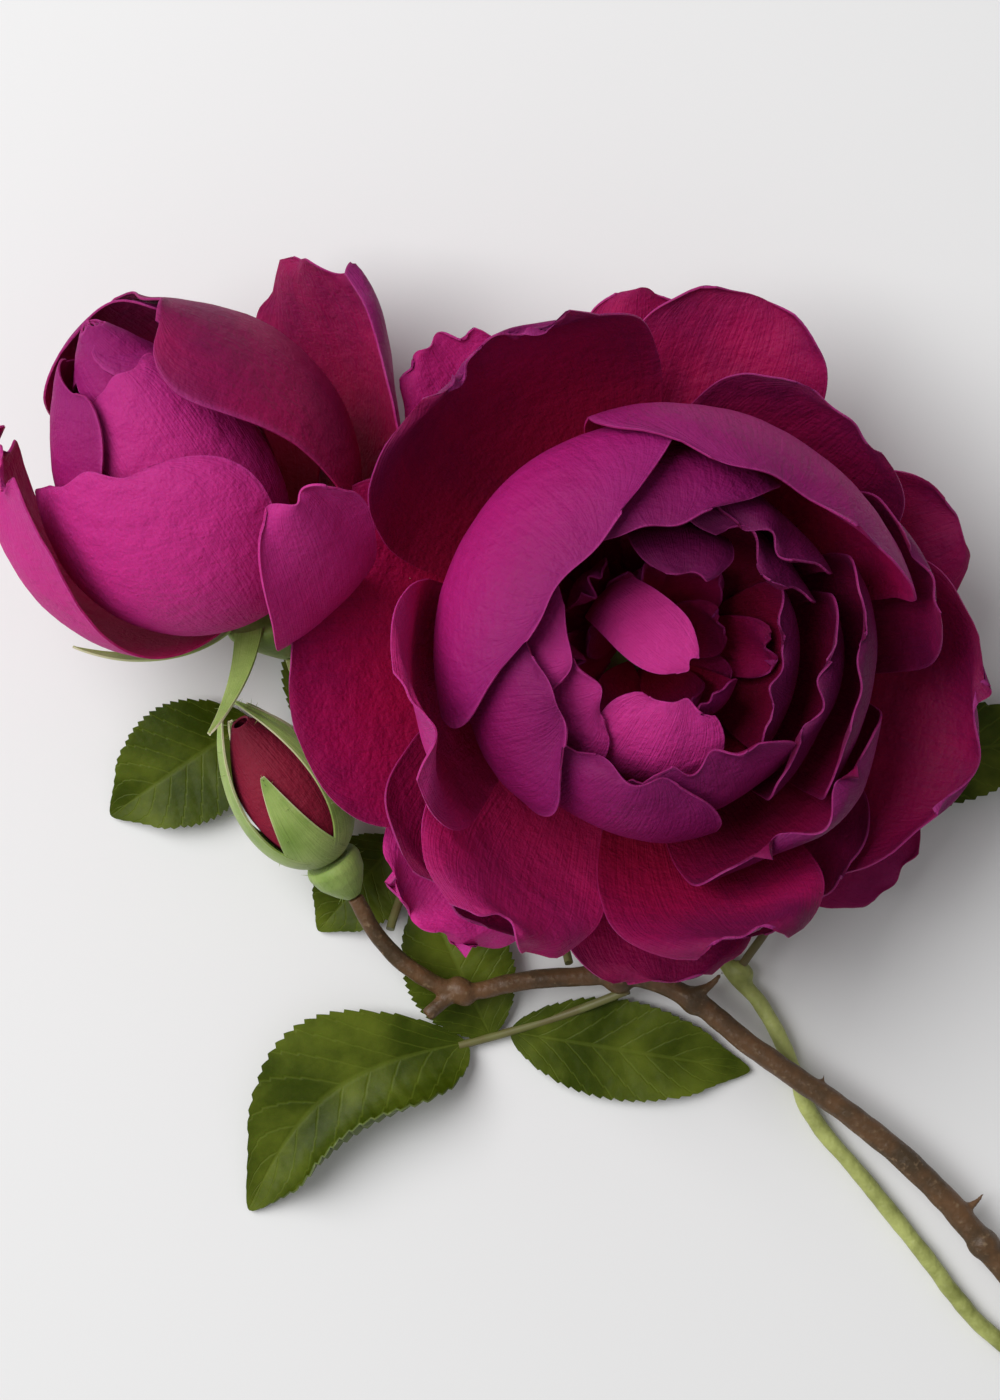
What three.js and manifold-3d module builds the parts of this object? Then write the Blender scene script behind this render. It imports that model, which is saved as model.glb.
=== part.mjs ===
// A cut spray of garden rose, lying on a table: one wide open bloom, one half open bloom and one bud
// on their stems, with four leaves. Millimetres, +Z up.
// Every petal is its own closed solid. The design is drawn round the big bloom's receptacle, and the
// finished group is then moved so that its origin is under the middle of the spray, on the table.
import * as THREE from "three";
import { mergeVertices } from "three/addons/utils/BufferGeometryUtils.js";
import Module from "manifold-3d";

const wasm = await Module();
wasm.setup();

// ---- driving dimensions ----
const TABLE_Z = -22; // the table top, below the big bloom's receptacle
const PETAL_THICK = 0.5;
const SEPAL_THICK = 0.6;
const LEAF_THICK = 0.5;
const RACHIS_RADIUS = 0.6;
const CUT_RADIUS = 2.2; // the cane at its cut end
const CANE_TIP_RADIUS = 1.15; // the cane under the bud
const SHOOT_RADIUS = 1.25; // the green shoot where it leaves the cane
const SHOOT_TIP_RADIUS = 1.05; // the green shoot under the big bloom
const STALK_RADIUS = 0.95; // the small bloom's stalk
const STALK_GAP = 0.3; // between a stalk and the hip or leaf it carries
const SHIFT_HEIGHT = 25; // the height at which a leaning petal is moved by its whole lean

// ---- colours ----
const colour = (hex, roughness) => new THREE.MeshStandardMaterial({ color: hex, roughness, metalness: 0 });
const PETAL = colour(0x7d0a4f, 0.6);
const BUD_PETAL = colour(0x7a1a38, 0.6);
const HEART = colour(0xb08a3c, 0.8);
const LEAF = colour(0x34521c, 0.5);
const CALYX = colour(0x7fa24a, 0.6);
const BARK = colour(0x6b4a2e, 0.6);

const rad = THREE.MathUtils.degToRad;
const vec = (p) => new THREE.Vector3(p[0], p[1], p[2]);

// ---- thin bent sheets ----
// A box with many divisions is bent so that its width runs along u from -1 to 1 and its length along v
// from 0 to 1 of a surface. The result is closed, and its faces point out.
function bentSheet(surface, thickness, across, along) {
  const box = new THREE.BoxGeometry(2, 1, 1, across, along, 1);
  const at = box.getAttribute("position");
  const step = 0.01;
  for (let i = 0; i < at.count; i++) {
    const u = at.getX(i);
    const v = at.getY(i) + 0.5;
    const p = surface(u, v);
    const du = surface(u + step, v).sub(surface(u - step, v));
    const dv = surface(u, v + step).sub(surface(u, v - step));
    const normal = du.cross(dv).normalize();
    p.addScaledVector(normal, at.getZ(i) * thickness);
    at.setXYZ(i, p.x, p.y, p.z);
  }
  box.computeVertexNormals();
  return box;
}

// ---- joining with manifold-3d ----
function solidOf(geometry) {
  const bare = geometry.clone();
  bare.deleteAttribute("normal");
  bare.deleteAttribute("uv");
  const merged = mergeVertices(bare, 1e-3);
  return new wasm.Manifold(new wasm.Mesh({
    numProp: 3,
    vertProperties: new Float32Array(merged.attributes.position.array),
    triVerts: new Uint32Array(merged.index.array),
  }));
}

function geometryOf(solid) {
  const mesh = solid.getMesh();
  const geometry = new THREE.BufferGeometry();
  geometry.setAttribute("position", new THREE.BufferAttribute(new Float32Array(mesh.vertProperties), 3));
  geometry.setIndex(new THREE.BufferAttribute(new Uint32Array(mesh.triVerts), 1));
  geometry.computeVertexNormals();
  return geometry;
}

const joined = (geometries) => geometryOf(geometries.map(solidOf).reduce((all, one) => all.add(one)));

// ---- flower frames ----
// A flower's own frame has its receptacle's top at the origin and its axis along +Z. Its azimuth 0
// points along `front`, turned to be square to the axis.
function flowerFrame(origin, axis, front) {
  const z = vec(axis).normalize();
  const x = vec(front);
  x.addScaledVector(z, -x.dot(z)).normalize();
  const y = z.clone().cross(x);
  return new THREE.Matrix4().makeBasis(x, y, z).setPosition(vec(origin));
}

// ---- petals ----
// A flower's layers are nested profiles, from the heart (layer 0) to the reflexed guard petals (over 1).
// Each is a cubic curve of radius and height: claw, two handles and rim.
function layerPoint(layers, layer, t) {
  let k = 0;
  while (k < layers.length - 2 && layer > layers[k + 1].layer) k++;
  const a = layers[k];
  const b = layers[k + 1];
  const mix = (layer - a.layer) / (b.layer - a.layer);
  const s = 1 - t;
  const weights = [s * s * s, 3 * s * s * t, 3 * s * t * t, t * t * t];
  let r = 0;
  let z = 0;
  weights.forEach((weight, i) => {
    r += weight * (a.curve[i][0] + mix * (b.curve[i][0] - a.curve[i][0]));
    z += weight * (a.curve[i][1] + mix * (b.curve[i][1] - a.curve[i][1]));
  });
  return [r, z];
}

// The half width of a petal along its length, as a share of its widest: a narrow claw, then a round top.
function petalWidth(v) {
  const widest = 0.66;
  const claw = 0.1;
  const roundness = 3.5;
  if (v < widest) return claw + (1 - claw) * Math.sin((Math.PI / 2) * Math.max(0, v / widest));
  const past = (v - widest) / (1 - widest);
  return Math.max(0.03, 1 - past ** roundness) ** (1 / roundness);
}

// A petal's surface: azimuth in degrees, half width in mm, layer, reach (its length as a share of the
// layer's), arch (how far its shoulders lie below its top, as a share of its length), lean (how its layer
// changes from foot to rim), a notch in its rim, and how far it leans eastward and northward in mm.
function petalSurface(layers, petal, outline) {
  const { az, half, layer, lean = 0, reach = 1, arch = 0.1 } = petal;
  const { notch = 0, at = 0, eastward = 0, northward = 0 } = petal;
  return (u, rows) => {
    const v = 1 - (1 - Math.min(Math.max(rows, 0), 1)) ** 1.5;
    const across = u * outline(v);
    const dent = notch * Math.exp(-(((across - at) / 0.16) ** 2));
    const t = reach * (v - (arch * across * across + dent) * v * v);
    const [r, z] = layerPoint(layers, layer + lean * Math.sqrt(v), t);
    const [middle] = layerPoint(layers, layer, reach * v);
    const angle = rad(az) + (half * across) / middle;
    const shift = z / SHIFT_HEIGHT;
    const x = r * Math.cos(angle) + eastward * shift;
    const y = r * Math.sin(angle) + northward * shift;
    return new THREE.Vector3(x, y, z);
  };
}

const BIG_LAYERS = [
  { layer: 0.0, curve: [[2.0, 2.0], [4, 8], [7, 14], [3, 19]] },
  { layer: 0.25, curve: [[3.5, 1.5], [11, 5], [18, 18], [8, 24]] },
  { layer: 0.45, curve: [[5.0, 1.0], [20, 4], [29, 22], [13.5, 28.5]] },
  { layer: 0.6, curve: [[6.0, 0.0], [28, 2], [38, 22], [19, 31]] },
  { layer: 0.75, curve: [[7.0, -0.5], [30, 0], [42, 18], [30, 31]] },
  { layer: 0.88, curve: [[8.0, -1.5], [26, -4], [42, 6], [42, 20]] },
  { layer: 1.0, curve: [[8.5, -2.5], [22, -6], [40, 2], [48, 4]] },
  { layer: 1.12, curve: [[9.0, -3.5], [20, -9], [38, -6], [49, -8]] },
];

const BIG_PETALS = [
  { name: "guard_01", az: 181, half: 26, layer: 0.97, reach: 1.05 },
  { name: "guard_02", az: 123, half: 24, layer: 0.9, reach: 1.16, notch: 0.1, at: 0.12 },
  { name: "guard_03", az: 72, half: 15, layer: 1, reach: 1.01 },
  { name: "guard_04", az: 89, half: 9, layer: 1.07, reach: 0.94 },
  { name: "guard_05", az: 125, half: 10, layer: 1.04, reach: 1 },
  { name: "guard_06", az: 50, half: 17, layer: 0.85, reach: 0.82 },
  { name: "guard_07", az: 20, half: 12, layer: 0.98, reach: 0.93 },
  { name: "guard_08", az: -18, half: 25, layer: 0.91, reach: 0.98 },
  { name: "guard_09", az: -42, half: 12, layer: 1.05, reach: 1.02 },
  { name: "guard_10", az: -60, half: 17, layer: 0.85, reach: 0.81 },
  { name: "guard_11", az: -86, half: 15, layer: 0.96, reach: 0.93 },
  { name: "guard_12", az: -130, half: 17, layer: 0.91, reach: 0.9 },
  { name: "guard_13", az: -128, half: 14, layer: 1.03, reach: 0.96 },
  { name: "cup_01", az: -168, half: 17, layer: 0.71, arch: 0.2 },
  { name: "cup_02", az: -125, half: 15, layer: 0.79, arch: 0.2 },
  { name: "cup_03", az: -78, half: 15, layer: 0.74, arch: 0.2 },
  { name: "cup_04", az: 60, half: 27, layer: 0.69, arch: 0.2 },
  { name: "cup_05", az: 16, half: 13, layer: 0.77, reach: 0.84, arch: 0.1 },
  { name: "cup_06", az: 143, half: 25, layer: 0.63, reach: 1.05, arch: 0.3 },
  { name: "cup_07", az: 104, half: 20, layer: 0.55, reach: 1, arch: 0.3 },
  { name: "cup_08", az: -8, half: 17, layer: 0.57, reach: 0.86, arch: 0.08 },
  { name: "cup_09", az: -164, half: 15, layer: 0.55, arch: 0.2 },
  { name: "cup_10", az: -112, half: 14.5, layer: 0.5, arch: 0.15 },
  { name: "cup_11", az: -49, half: 18, layer: 0.64, reach: 0.84, arch: 0.1 },
  { name: "cup_12", az: 53, half: 11, layer: 0.49, reach: 0.9, arch: 0.08 },
  { name: "inner_01", az: 172, half: 12, layer: 0.48, arch: 0.3 },
  { name: "inner_02", az: 55, half: 13, layer: 0.42, reach: 0.88, arch: 0.08 },
  { name: "inner_03", az: -18, half: 15, layer: 0.48, reach: 0.88, arch: 0.08 },
  { name: "inner_04", az: -75, half: 13, layer: 0.44, arch: 0.08 },
  { name: "inner_05", az: -162, half: 11, layer: 0.39, arch: 0.1 },
  { name: "inner_06", az: 135, half: 4.2, layer: 0.26, reach: 1.12, eastward: 4, northward: -3.5 },
  { name: "inner_07", az: -108, half: 8, layer: 0.34, reach: 1.12, eastward: 1, northward: -0.5 },
  { name: "inner_08", az: 84, half: 7, layer: 0.34 },
  { name: "inner_09", az: -8, half: 12, layer: 0.36, reach: 0.92, arch: 0.08 },
  { name: "inner_10", az: -50, half: 5, layer: 0.12, eastward: 2, northward: -2 },
];

const SMALL_LAYERS = [
  { layer: 0.0, curve: [[0.9, 2], [3, 14], [6, 28], [1.5, 43]] },
  { layer: 0.4, curve: [[3, 0], [14, 6], [19, 24], [6, 40]] },
  { layer: 0.7, curve: [[4, -0.5], [24, 2], [29, 22], [16, 38]] },
  { layer: 0.9, curve: [[4.5, -1], [22, -2], [32, 12], [32, 32]] },
  { layer: 1.1, curve: [[5, -1.5], [18, -6], [34, 2], [40, 12]] },
];

const SMALL_PETALS = [
  { name: "guard_1", az: 112, half: 21, layer: 0.92, reach: 1.04 },
  { name: "guard_2", az: -90, half: 19, layer: 0.76, reach: 1.02 },
  { name: "guard_3", az: -14, half: 8, layer: 0.96, reach: 0.7 },
  { name: "cup_1", az: -38, half: 22, layer: 0.58, reach: 0.88 },
  { name: "cup_2", az: 95, half: 20, layer: 0.7, reach: 1.15 },
  { name: "cup_3", az: 155, half: 18, layer: 0.6, reach: 1.2 },
  { name: "inner_1", az: 8, half: 13, layer: 0.38, reach: 1 },
  { name: "inner_2", az: -95, half: 12, layer: 0.47, reach: 1.05 },
  { name: "inner_3", az: 138, half: 8.6, layer: 0.32 },
  { name: "inner_4", az: 40, half: 6, layer: 0.2 },
  { name: "inner_5", az: 230, half: 6, layer: 0.12 },
];

const BUD_LAYERS = [
  { layer: 0.0, curve: [[1, 1], [4, 6], [5, 13], [1.2, 20]] },
  { layer: 0.5, curve: [[1.7, 0.4], [6.6, 4], [6.6, 13], [2.2, 20.5]] },
  { layer: 1.0, curve: [[2.4, -0.2], [8.4, 3], [8.4, 13], [3.6, 21]] },
  { layer: 2.0, curve: [[3.2, -1.2], [11, 1.5], [12, 13], [10, 24]] },
];

const BUD_PETALS = [
  { name: "1", az: 20, half: 9, layer: 1, reach: 1.04 },
  { name: "2", az: 150, half: 8.4, layer: 0.4 },
  { name: "3", az: -90, half: 9, layer: 0.7 },
  { name: "4", az: 60, half: 3.6, layer: 0 },
];

// ---- sepals ----
// A sepal is bent like a petal, lies outside the last petal, and narrows from its foot to a point.
const sepalWidth = (v) => (1 - v) ** 0.9 + 0.06;

const BIG_SEPALS = [55, 140, -150, -85, -15].map((az) => ({ az, half: 4.2, layer: 1.2, reach: 0.8 }));
const SMALL_SEPALS = [
  { az: 56, half: 3.4, layer: 1.2, lean: -0.06, reach: 0.46 },
  { az: 128, half: 3.4, layer: 1.2, lean: -0.1, reach: 0.5 },
  { az: -168, half: 3.4, layer: 1.2, lean: -0.6, reach: 0.5 },
  { az: -100, half: 3.4, layer: 1.2, lean: -0.24, reach: 0.8 },
  { az: -36, half: 3.4, layer: 1.2, lean: 0, reach: 0.45 },
];
const BUD_SEPALS = [
  { az: -78, half: 3.6, layer: 2, lean: -0.3, reach: 1.08 },
  { az: -18, half: 1.9, layer: 2, lean: -0.5, reach: 0.72 },
  { az: 46, half: 3.2, layer: 2, lean: -0.4, reach: 1.05 },
  { az: 130, half: 3.2, layer: 2, lean: -0.4, reach: 1.0 },
  { az: -150, half: 3.2, layer: 2, lean: -0.5, reach: 1.0 },
];

// The hip and its receptacle: radius and height, from the top of the dome to the stalk.
const BIG_HIP = [
  [0, 1.1], [2.6, 0.4], [4.4, -0.7], [6, -1.6], [7.1, -2.8], [7.7, -4.2], [9.8, -4.7], [10.2, -5.4],
  [8.8, -7], [6.4, -9.4], [3.6, -12.4], [1.4, -15], [0, -15],
];
const SMALL_HIP = [
  [0, 0.8], [0.9, 0.4], [2.2, -0.9], [3.3, -1.5], [3.9, -2.1], [5.6, -2.3], [5.9, -3],
  [5, -4.8], [3.2, -7.4], [1.2, -10], [0, -10],
];
const BUD_HIP = [
  [0, 0], [1, -0.4], [1.8, -1.1], [2.6, -1.3], [3.7, -1.2],
  [4, -2.2], [3.5, -4.2], [2.2, -6.2], [1.1, -7.5], [0, -7.5],
];

const BIG_FRAME = flowerFrame([0, 0, 0], [0.165, -0.095, 0.982], [1, 0, 0]);
const SMALL_FRAME = flowerFrame([-51.2, 6, -4.5], [-0.433, 0.75, 0.5], [0, 0, 1]);
const BUD_FRAME = flowerFrame([-42, -28.4, -10], [-0.5, 0.8, 0.33], [0, 0, 1]);

function sheetIn(frame, layers, petal, outline, thickness, across, along) {
  const local = petalSurface(layers, petal, outline);
  return bentSheet((u, v) => local(u, v).applyMatrix4(frame), thickness, across, along);
}

function calyx(frame, layers, hip, sepals) {
  const profile = hip.map(([r, z]) => new THREE.Vector2(r, z)).reverse();
  const body = new THREE.LatheGeometry(profile, 16).rotateX(Math.PI / 2).applyMatrix4(frame);
  const blades = sepals.map((one) => sheetIn(frame, layers, one, sepalWidth, SEPAL_THICK, 2, 5));
  return joined([body, ...blades]);
}

// ---- stems ----
// A cylinder is bent along a smooth curve through the points; its radius runs evenly between two values.
function stalk(points, from, to, sides, rings) {
  const curve = new THREE.CatmullRomCurve3(points.map(vec), false, "centripetal");
  const frames = curve.computeFrenetFrames(rings, false);
  const tube = new THREE.CylinderGeometry(1, 1, 1, sides, rings);
  const at = tube.getAttribute("position");
  for (let i = 0; i < at.count; i++) {
    const t = at.getY(i) + 0.5;
    const k = Math.round(t * rings);
    const radius = from + (to - from) * t;
    const p = curve.getPointAt(t);
    p.addScaledVector(frames.normals[k], at.getZ(i) * radius);
    p.addScaledVector(frames.binormals[k], at.getX(i) * radius);
    at.setXYZ(i, p.x, p.y, p.z);
  }
  return tube;
}

function spike(from, to, radius) {
  const axis = vec(to).sub(vec(from));
  const cone = new THREE.ConeGeometry(radius, axis.length(), 6);
  const up = new THREE.Vector3(0, 1, 0);
  const turn = new THREE.Quaternion().setFromUnitVectors(up, axis.clone().normalize());
  return cone.applyQuaternion(turn).translate(...vec(from).addScaledVector(axis, 0.5).toArray());
}

// The point on a flower's axis at a given height: where its stalk ends.
const onAxis = (frame, z) => new THREE.Vector3(0, 0, z).applyMatrix4(frame).toArray();

const CANE = [
  [83.1, -130.4, TABLE_Z + CUT_RADIUS], [72.4, -114.4, -19.8], [59.1, -95.7, -18.8], [48.4, -82.7, -17.6],
  [40.4, -73.7, -16.9], [31.1, -65.7, -16.3], [21.7, -59.1, -16], [15.1, -54.4, -16], [8.4, -49.1, -16],
  [0.4, -45.7, -16], [-7.6, -45.7, -16], [-15.6, -46.4, -16], [-23.6, -47.7, -15.8], [-28.9, -45.7, -15.2],
  [-34.9, -40.2, -14], onAxis(BUD_FRAME, -7.5 - STALK_GAP),
];
const SHOOT = [
  [72, -113.8, -19.6], [60, -103, -20.4], [48.4, -94.4, -20.7], [40.4, -84.4, -20.7], [32.4, -74.4, -20.6],
  [24.4, -64.4, -20.5], [22.7, -59.7, -20.4], [17.7, -49.7, -20.4], [13.1, -44.4, -20.5],
  [8.4, -34.4, -20.8], [5.2, -21.1, TABLE_Z + SHOOT_TIP_RADIUS], [1.4, -9, TABLE_Z + SHOOT_TIP_RADIUS],
  [-2, -0.4, -19.6], onAxis(BIG_FRAME, -17), onAxis(BIG_FRAME, -15 - STALK_GAP),
];
const STALK = [
  [-2.3, -45.7, -16.2], [-9, -38, -17.4], [-20, -26, -18], [-32, -15, -16.8], [-41, -8, -14],
  [-45.6, -4.4, -11.4], onAxis(SMALL_FRAME, -10 - STALK_GAP),
];

// ---- leaves ----
const toothed = (v, teeth) => 1 - 0.1 * ((v * teeth) % 1);
const leafWidth = (v) => Math.sin(Math.PI * Math.min(1, Math.max(0, v)) ** 0.85) ** 0.75;

// A leaflet: base, tip, half width, roll of its face about its length in degrees, fold of its two sides
// up from the midrib, how far its middle arches above the line from base to tip, and how far it bows
// sideways.
function leafletSheet({ base, tip, half, roll = 0, fold = 0.12, arch = 1, bow = 0, teeth = 9 }) {
  const start = vec(base);
  const axis = vec(tip).sub(start);
  const length = axis.length();
  axis.normalize();
  const side = new THREE.Vector3(0, 0, 1).cross(axis).normalize().applyAxisAngle(axis, rad(roll));
  const up = axis.clone().cross(side);
  const surface = (u, v) => {
    const width = half * (leafWidth(v) * toothed(v, teeth) + 0.05);
    const middle = Math.sin(Math.PI * v);
    const p = start.clone().addScaledVector(axis, v * length);
    p.addScaledVector(side, bow * middle - u * width);
    return p.addScaledVector(up, Math.abs(u) * width * fold + arch * middle);
  };
  return bentSheet(surface, LEAF_THICK, 4, 2 * teeth);
}

const LEAVES = [
  {
    name: "leaf_front",
    rachis: [[-0.6, -47.7, -17.6], [-8, -50.8, -20], [-16.9, -53.7, -20.8], [-24, -55.6, -20.4]],
    leaflets: [
      { base: [-22.9, -55.1, -20.4], tip: [-53.2, -78.4, -21.7], half: 9.6, roll: 14, arch: 3, bow: -4 },
      { base: [-16.9, -53.7, -20.8], tip: [16.4, -59.1, -21.6], half: 7, arch: 0.4 },
      { base: [-19.6, -54.4, -20.8], tip: [-29.4, -33.4, -20.4], half: 7.6 },
    ],
  },
  {
    name: "leaf_left",
    rachis: [
      [-33.4, -39.2, -15.8], [-31.6, -31.4, -19.8], [-34.6, -20.4, -21], [-43.9, -13.3, -21],
      [-53.4, -10.6, -20.6],
    ],
    leaflets: [
      { base: [-52.9, -10.4, -20.6], tip: [-72.3, -23.7, -21.7], half: 8.6, arch: 2 },
      { base: [-32.4, -27.1, -20.4], tip: [-43.5, -39.7, -21.6], half: 6.4 },
      { base: [-43.9, -13.1, -21], tip: [-37, 10.4, -20.6], half: 7.5 },
    ],
  },
  {
    name: "leaf_right",
    rachis: [[15.2, -44.4, -19.6], [20, -37, -20.4], [22, -28, -20.8], [25, -16.9, -20.8]],
    leaflets: [
      { base: [24.4, -17.3, -20.8], tip: [61.7, -12.6, -21.7], half: 7.4, arch: 2 },
      { base: [20.6, -35.2, -20.5], tip: [13.4, -17.4, -21.4], half: 4, arch: 0 },
      { base: [20.6, -36.2, -20.5], tip: [33, -20, -21.4], half: 6, arch: 0.4 },
    ],
  },
  {
    name: "leaf_node",
    rachis: [[-8.8, -43.9, -17], [-9.6, -41, -19.2], [-11.6, -37, -20.8]],
    leaflets: [
      { base: [-11, -38.4, -20.6], tip: [-14.6, -14.7, -21.4], half: 8.4, arch: 0.5 },
    ],
  },
];

// ---- assembly ----
const spray = new THREE.Group();
const add = (name, geometry, material) => {
  const mesh = new THREE.Mesh(geometry, material);
  mesh.name = name;
  spray.add(mesh);
};

for (const p of BIG_PETALS) {
  add(`big_petal_${p.name}`, sheetIn(BIG_FRAME, BIG_LAYERS, p, petalWidth, PETAL_THICK, 6, 5), PETAL);
}
for (const p of SMALL_PETALS) {
  add(`small_petal_${p.name}`, sheetIn(SMALL_FRAME, SMALL_LAYERS, p, petalWidth, PETAL_THICK, 6, 5), PETAL);
}
for (const p of BUD_PETALS) {
  add(`bud_petal_${p.name}`, sheetIn(BUD_FRAME, BUD_LAYERS, p, petalWidth, PETAL_THICK, 6, 5), BUD_PETAL);
}
const heart = new THREE.SphereGeometry(1, 12, 8).scale(1.4, 1.4, 3.4).translate(0, 0, 5.2);
add("big_bloom_heart", heart.applyMatrix4(BIG_FRAME), HEART);
add("big_calyx", calyx(BIG_FRAME, BIG_LAYERS, BIG_HIP, BIG_SEPALS), CALYX);
add("small_calyx", calyx(SMALL_FRAME, SMALL_LAYERS, SMALL_HIP, SMALL_SEPALS), CALYX);
add("bud_calyx", calyx(BUD_FRAME, BUD_LAYERS, BUD_HIP, BUD_SEPALS), CALYX);

const stem = joined([
  stalk(CANE, CUT_RADIUS, CANE_TIP_RADIUS, 10, 30),
  stalk(SHOOT, SHOOT_RADIUS, SHOOT_TIP_RADIUS, 8, 26),
  stalk(STALK, STALK_RADIUS, STALK_RADIUS, 8, 12),
  stalk([[-23.2, -47.6, -15.8], [-25.4, -48.6, -15.6], [-28.4, -51, -15]], 1.2, 1.1, 8, 3),
  spike([7.4, -48.6, -15.4], [12.6, -44.6, -14.6], 1.2),
  spike([27, -62.6, -16.6], [26.2, -59.2, -16], 0.9),
  spike([44.4, -78.4, -17.7], [48.6, -75.4, -17.2], 1.1),
]);
add("stem", stem, BARK);

for (const leaf of LEAVES) {
  const rachis = stalk(leaf.rachis, RACHIS_RADIUS, RACHIS_RADIUS * 0.8, 6, 8);
  add(leaf.name, joined([rachis, ...leaf.leaflets.map(leafletSheet)]), LEAF);
}

// The origin is moved to the middle of the spray's footprint, at the height of its lowest point.
const box = new THREE.Box3().setFromObject(spray);
const middle = box.getCenter(new THREE.Vector3());
spray.children.forEach((mesh) => mesh.geometry.translate(-middle.x, -middle.y, -box.min.z));

export default spray;
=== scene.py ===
# %% [markdown]
# # A cut rose spray, laid on a table
# The spray has one wide open bloom, one half open bloom and a bud, on a brown cane with a green side
# shoot, and four leaves. The CAD frame gives each of its pieces a place and a size. This lesson makes a
# fine piece over each one: petals, hips with their sepals, stems, leaves and stamens.
# %% Load the frame
import math

import bpy
import numpy as np
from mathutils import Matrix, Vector, noise


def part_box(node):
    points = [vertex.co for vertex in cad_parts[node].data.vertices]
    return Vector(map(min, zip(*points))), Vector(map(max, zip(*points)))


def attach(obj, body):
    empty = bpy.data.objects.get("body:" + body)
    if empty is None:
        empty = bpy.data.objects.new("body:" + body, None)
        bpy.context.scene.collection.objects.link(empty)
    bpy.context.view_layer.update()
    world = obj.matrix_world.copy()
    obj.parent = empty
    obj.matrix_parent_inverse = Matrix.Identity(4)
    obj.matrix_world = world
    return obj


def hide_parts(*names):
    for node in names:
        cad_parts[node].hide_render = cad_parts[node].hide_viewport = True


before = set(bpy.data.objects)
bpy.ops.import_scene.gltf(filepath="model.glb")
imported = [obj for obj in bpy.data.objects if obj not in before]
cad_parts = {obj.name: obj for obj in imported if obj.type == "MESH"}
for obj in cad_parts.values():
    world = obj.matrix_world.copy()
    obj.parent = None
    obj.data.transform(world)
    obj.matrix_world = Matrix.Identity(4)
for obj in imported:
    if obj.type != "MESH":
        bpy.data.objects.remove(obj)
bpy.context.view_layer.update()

MM = 0.001
print("CAD nodes:", len(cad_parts))

# %% [markdown]
# ## The design's own frame
# The whole spray is drawn round the top of the open bloom's receptacle. The stamens stand on that point,
# and their simple solid is an even ellipsoid, so the middle of its box gives the point back.
# %% Where the design's origin lies
BIG_AXIS = Vector((0.165, -0.095, 0.982)).normalized()
HEART_HEIGHT = 5.2
heart_low, heart_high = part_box("big_bloom_heart")
ORIGIN = (heart_low + heart_high) / 2 - BIG_AXIS * HEART_HEIGHT * MM
print("design origin:", [round(c, 4) for c in ORIGIN])


def design(point):
    """A point of the design, in mm, as a place in the frame, in metres."""
    return ORIGIN + Vector(point) * MM


# %% [markdown]
# ## Camera first
# The spray lies down, so the camera looks straight down on it. A long lens keeps the flowers from
# bulging. The distance follows from the length of table that the long side of the view holds.
# %% Camera
VIEW_LENGTH = 186.7
VIEW_MIDDLE = (-18.3, -7.7, 0)
LENS = 100
SENSOR = 36

lens = bpy.data.cameras.new("camera")
lens.lens = LENS
lens.sensor_width = SENSOR
lens.clip_end = 50
camera = bpy.data.objects.new("camera", lens)
camera.location = design(VIEW_MIDDLE) + Vector((0, 0, VIEW_LENGTH * LENS / SENSOR * MM))
bpy.context.scene.collection.objects.link(camera)
bpy.context.scene.camera = camera
bpy.context.scene.view_settings.view_transform = "Standard"
print("camera height:", round(camera.location.z, 3))

# %% [markdown]
# ## Shader maths as Python expressions
# A node tree is slow to read. Here one small class wraps a socket, so that an expression such as
# `1 - rim * 0.5` adds its own Math nodes, and a `Paint` holds one material and hands out the other nodes.
# %% Wires and paints
class Wire:
    """A number that varies over a surface: one output socket of a node."""

    def __init__(self, paint, socket):
        self.paint = paint
        self.socket = socket

    def maths(self, operation, *others, first=None):
        values = [self if first is None else first, *others]
        return self.paint.get("ShaderNodeMath", {"operation": operation}, dict(enumerate(values)))

    def __add__(self, other):
        return self.maths("ADD", other)

    __radd__ = __add__

    def __mul__(self, other):
        return self.maths("MULTIPLY", other)

    __rmul__ = __mul__

    def __sub__(self, other):
        return self.maths("SUBTRACT", other)

    def __rsub__(self, other):
        return self.maths("SUBTRACT", self, first=other)

    def size(self):
        return self.maths("ABSOLUTE")

    def step(self, low, high):
        """0 below low, 1 above high, and smooth between."""
        settings = {"interpolation_type": "SMOOTHSTEP"}
        return self.paint.get("ShaderNodeMapRange", settings, {0: self, 1: low, 2: high})


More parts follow.
